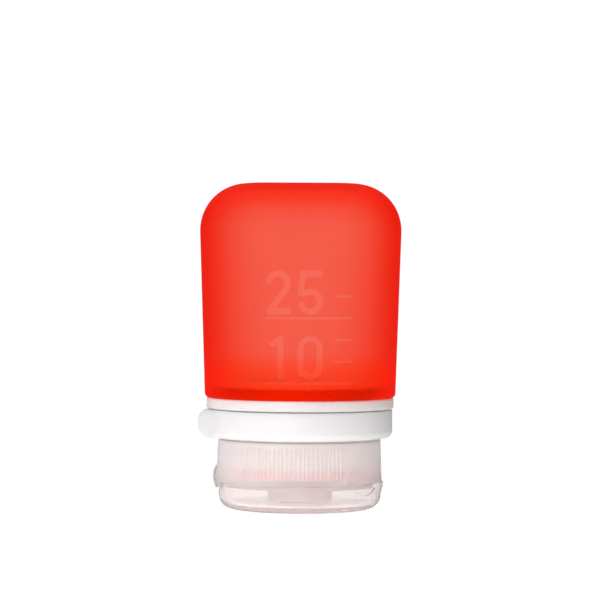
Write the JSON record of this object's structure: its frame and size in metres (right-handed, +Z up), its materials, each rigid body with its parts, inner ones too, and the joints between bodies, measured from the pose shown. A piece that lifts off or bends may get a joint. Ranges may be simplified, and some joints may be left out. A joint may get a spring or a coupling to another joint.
{
  "type": "silicone travel bottle",
  "caption": "Small squeeze bottle of soft translucent silicone with a clamped threaded neck, a swing-open carrying loop, a knurled screw cap with a slit valve, and a clear flip lid.",
  "frame": {"origin": "on the cap's axis, on the flat end of the closed lid, which the bottle stands on", "axes": "+Z up along the cap's axis to the closed end of the body, +X to the right of the front, -Y to the front"},
  "size_m": [0.0436, 0.041, 0.0696],
  "materials": {
    "red_silicone": "translucent satin silicone",
    "white_plastic": "white moulded polypropylene",
    "pin_steel": "plain stainless wire",
    "seal_silicone": "soft red silicone",
    "frosted_plastic": "natural frosted polypropylene",
    "valve_silicone": "milky silicone",
    "clear_plastic": "clear moulded polypropylene"
  },
  "bodies": {
    "bottle": {"bottle_body": "red_silicone", "neck_insert": "white_plastic", "clamp_collar": "white_plastic", "gate_hinge_pin": "pin_steel"},
    "gate": {"loop_gate": "white_plastic"},
    "seal": {"neck_seal": "seal_silicone"},
    "cap": {"screw_cap": "frosted_plastic", "slit_valve": "valve_silicone", "valve_retainer": "frosted_plastic", "lid_hinge_strap": "clear_plastic"},
    "lid": {"flip_lid": "clear_plastic"}
  },
  "joints": [
    {"name": "gate_swing", "type": "hinge", "parent": "bottle", "child": "gate", "pos_m": [0.01831, 0.00225, 0.0182], "axis": [0, 0, 1], "range_deg": [0, 90]},
    {"name": "cap_rise", "type": "slide", "parent": "bottle", "child": "seal", "axis": [0, 0, -1], "range_m": [0, 0.0072]},
    {"name": "cap_turn", "type": "hinge", "parent": "seal", "child": "cap", "pos_m": [0, 0, 0.0084], "axis": [0, 0, -1], "range_deg": [0, 720]},
    {"name": "lid_flip", "type": "hinge", "parent": "cap", "child": "lid", "pos_m": [-0.01808, 0.00158, 0.0058], "axis": [0.0872, 0.9962, 0], "range_deg": [0, 150], "deforming": ["lid_hinge_strap"]}
  ],
  "couplings": [
    {"joint": "cap_rise", "follows": "cap_turn", "m_per_rad": 0.00057295}
  ]
}
